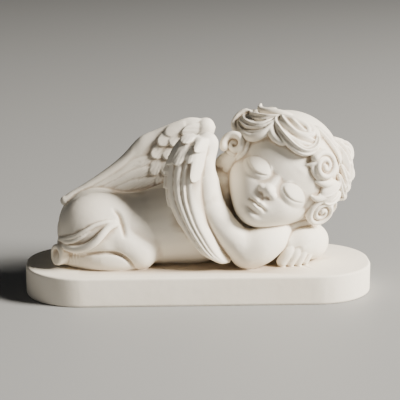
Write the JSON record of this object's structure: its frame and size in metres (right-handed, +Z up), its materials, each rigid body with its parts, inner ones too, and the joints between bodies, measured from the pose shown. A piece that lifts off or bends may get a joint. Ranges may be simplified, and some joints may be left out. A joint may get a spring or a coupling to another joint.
{
  "type": "sleeping angel statue",
  "caption": "Tabletop plaster cast of a winged child asleep on folded arms, one solid with its round-ended plinth.",
  "frame": {"origin": "centre of the plinth's flat underside, which rests on the shelf or table", "axes": "+X runs from the feet to the head along the plinth, -Y is the side the face looks to, +Z up"},
  "size_m": [0.25, 0.095, 0.133],
  "materials": {
    "plaster": "dry matt cast plaster, white with a slight warmth in the hollows"
  },
  "bodies": {
    "root": {"sleeping_angel": "plaster"}
  },
  "joints": []
}
